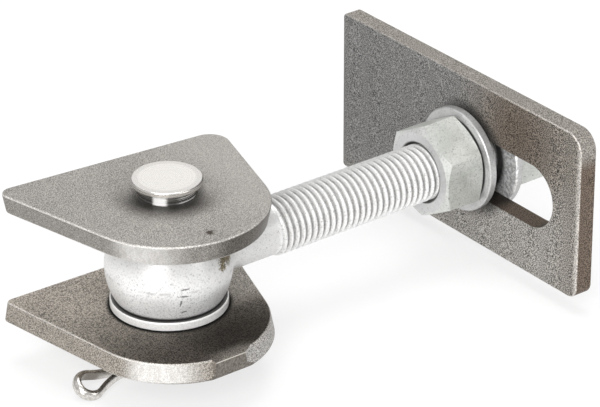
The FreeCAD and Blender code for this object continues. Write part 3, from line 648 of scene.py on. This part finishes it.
def bright_wire():
    """Smooth bright wire of the split pin, with painted shade on the surfaces that face the middle of its
    eye.
    """
    shader = Shader("bright_wire")
    clouds = shader.noise(0.8, 3.0, 0.6)
    colour = shader.mix(shader.spread(clouds), grey(0.5, 0.05), grey(0.8, 0.03))
    corners = [vertex.co for vertex in nodes["split_pin"].data.vertices]
    tip = min(corners, key=lambda corner: corner.x)
    eye = tip - SPLIT_WAY * SPLIT_EYE_OUTSIDE * MM
    # Painted shade on the surfaces that face the middle of the eye
    from_eye = shader.vector_math("NORMALIZE", shader.frame_place(eye))["Vector"]
    outward = shader.vector_math("DOT_PRODUCT", from_eye, shader.coordinates.outputs["Normal"])["Value"]
    colour = shader.mix(shader.ramp(outward, -0.1, -0.6, 0.0, 0.9), colour, grey(0.15, 0.14))
    normal = shader.bump(shader.noise(4.0, 1.0), 0.05, 0.05 * MM)
    return shader.finish(colour, 1.0, shader.spread(clouds, 0.18, 0.28), normal)


BOLT = bolt_zinc()
CLAMP = clamp_washer_zinc()
THRUST = thrust_washer_zinc()
NUT = nut_zinc()
MATERIALS = {
    "upper_hinge_plate": upper_plate_steel(),
    "lower_hinge_plate": lower_plate_steel(),
    "slotted_plate": slotted_plate_steel(),
    "hinge_pin": bright_steel(),
    "split_pin": bright_wire(),
    "eye_bolt": BOLT,
    "front_nut": NUT,
    "rear_nut": NUT,
    "front_washer": CLAMP,
    "rear_washer": CLAMP,
    "lower_thrust_washer": THRUST,
    "upper_thrust_washer": THRUST,
    "upper_spacing_washer": THRUST,
}
for node_name, material in MATERIALS.items():
    node_mesh = nodes[node_name].data
    node_mesh.materials.clear()
    node_mesh.materials.append(material)


def thread_radius(along, turn):
    """Radius of the rolled thread at places along the bolt, for a turn about it in radians."""
    phase = (along - THREAD_START) / THREAD_PITCH - turn / (2 * math.pi)
    wave = 2 * np.abs(phase - np.floor(phase) - 0.5)
    crest = np.clip((wave - ROOT_FLAT) / FLANK, 0, 1)
    crest = crest * crest * (3 - 2 * crest)
    full = THREAD_ROOT + (THREAD_OUTSIDE - THREAD_ROOT) * crest
    start = np.clip((along - THREAD_START) / THREAD_RUN_IN, 0, 1)
    tip = np.clip((THREAD_END - along) / THREAD_CHAMFER, 0, 1)
    return NECK_RADIUS * (1 - start) + full * start - (1 - tip) * THREAD_CHAMFER


def add_thread(work):
    """Adds the closed skin of the rolled thread to a mesh in the bolt's own frame."""
    steps = int((THREAD_END - THREAD_START) / THREAD_PITCH * STEPS_PER_PITCH)
    along = np.linspace(THREAD_START, THREAD_END, steps + 1)
    lines = []
    for turn in np.arange(THREAD_SIDES) * 2 * math.pi / THREAD_SIDES:
        radii = thread_radius(along, turn)
        lines.append([work.verts.new((x * MM, r * math.cos(turn) * MM, r * math.sin(turn) * MM))
                      for x, r in zip(along, radii)])
    for side in range(THREAD_SIDES):
        this, following = lines[side], lines[(side + 1) % THREAD_SIDES]
        for step in range(steps):
            work.faces.new((this[step], this[step + 1], following[step + 1], following[step]))
    work.faces.new([line[0] for line in lines])
    work.faces.new([line[-1] for line in reversed(lines)])


def threaded_bolt():
    """The forged eye and neck as the solid has them, with a rolled thread in place of the plain shank."""
    work = bmesh.new()
    work.from_mesh(nodes["eye_bolt"].data)
    bmesh.ops.remove_doubles(work, verts=work.verts, dist=1e-6)
    bmesh.ops.transform(work, matrix=BOLT_FRAME.inverted(), verts=work.verts)
    cut = bmesh.ops.bisect_plane(work, geom=work.verts[:] + work.edges[:] + work.faces[:],
                                 plane_co=(THREAD_START * MM, 0, 0), plane_no=(1, 0, 0), clear_outer=True)
    rim = [item for item in cut["geom_cut"] if isinstance(item, bmesh.types.BMEdge)]
    bmesh.ops.contextual_create(work, geom=rim)
    add_thread(work)
    bmesh.ops.recalc_face_normals(work, faces=work.faces)
    bmesh.ops.transform(work, matrix=BOLT_FRAME, verts=work.verts)

    mesh = bpy.data.meshes.new("threaded_eye_bolt")
    work.to_mesh(mesh)
    work.free()
    mesh.shade_smooth()
    mesh.set_sharp_from_angle(angle=SHARP_ANGLE)
    mesh.materials.append(BOLT)
    item = bpy.data.objects.new("threaded_eye_bolt", mesh)
    bpy.context.scene.collection.objects.link(item)
    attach(item, "bolt")
    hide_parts("eye_bolt")


def paper_floor():
    """A pale floor under the lowest point, near white to the camera and in reflections; it keeps shadows."""
    bpy.ops.mesh.primitive_plane_add(size=FLOOR_SIZE, location=(0, 0, cad_box[0][2] - FLOOR_GAP))
    floor = bpy.context.object
    floor.name = "floor"
    shader = Shader("floor_paper")
    paper = shader.mix(shader.noise(0.04, 2.0), grey(0.9), grey(0.92))
    shader.feed(shader.surface.inputs["Base Color"], paper)
    shader.surface.inputs["Roughness"].default_value = 0.9
    white = shader.add("ShaderNodeEmission")
    ray = shader.add("ShaderNodeLightPath").outputs
    seen = shader.math("MAXIMUM", ray["Is Glossy Ray"], ray["Is Transmission Ray"])
    seen = shader.math("MAXIMUM", seen, ray["Is Camera Ray"])
    blend = shader.add("ShaderNodeMixShader")
    shader.feed(blend.inputs[0], shader.times(seen, FLOOR_WHITE))
    shader.feed(blend.inputs[1], shader.surface.outputs[0])
    shader.feed(blend.inputs[2], white.outputs[0])
    shader.feed(shader.tree.nodes["Material Output"].inputs["Surface"], blend.outputs[0])
    floor.data.materials.append(shader.material)


def surround():
    """A white world that fades from its bright side to the far one."""
    world = bpy.data.worlds.new("surround")
    world.use_nodes = True
    bpy.context.scene.world = world
    tree = world.node_tree
    way = tree.nodes.new("ShaderNodeTexCoord")
    lean = tree.nodes.new("ShaderNodeVectorMath")
    lean.operation = "DOT_PRODUCT"
    lean.inputs[1].default_value = BRIGHT_SIDE
    fade = tree.nodes.new("ShaderNodeMapRange")
    fade.interpolation_type = "SMOOTHSTEP"
    for name, value in SURROUND_FADE.items():
        fade.inputs[name].default_value = value
    background = tree.nodes["Background"]
    background.inputs["Color"].default_value = (1, 1, 1, 1)
    tree.links.new(way.outputs["Generated"], lean.inputs[0])
    tree.links.new(lean.outputs["Value"], fade.inputs["Value"])
    tree.links.new(fade.outputs["Result"], background.inputs["Strength"])


def lamp(name, at, size, power):
    """A round soft lamp that points at the part."""
    light = bpy.data.lights.new(name, "AREA")
    light.shape = "DISK"
    light.size = size
    light.energy = power
    item = bpy.data.objects.new(name, light)
    bpy.context.scene.collection.objects.link(item)
    item.location = at
    item.rotation_euler = (LAMP_TARGET - Vector(at)).to_track_quat("-Z", "Y").to_euler()


def camera():
    """The camera that took the photo, as fitted."""
    data = bpy.data.cameras.new("photo_view")
    data.sensor_fit = "HORIZONTAL"
    data.sensor_width = SENSOR_WIDTH
    data.lens = LENS
    data.clip_start = CLIP_START
    data.clip_end = CLIP_END
    item = bpy.data.objects.new("photo_view", data)
    bpy.context.scene.collection.objects.link(item)
    up = CAMERA_RIGHT.cross(CAMERA_AHEAD)
    turn = Matrix((CAMERA_RIGHT, up, -CAMERA_AHEAD)).transposed().to_4x4()
    item.matrix_world = Matrix.Translation(CAMERA_AT) @ turn
    bpy.context.scene.camera = item


threaded_bolt()
paper_floor()
surround()
for lamp_values in LAMPS:
    lamp(*lamp_values)
camera()
bpy.context.scene.view_settings.view_transform = "Standard"
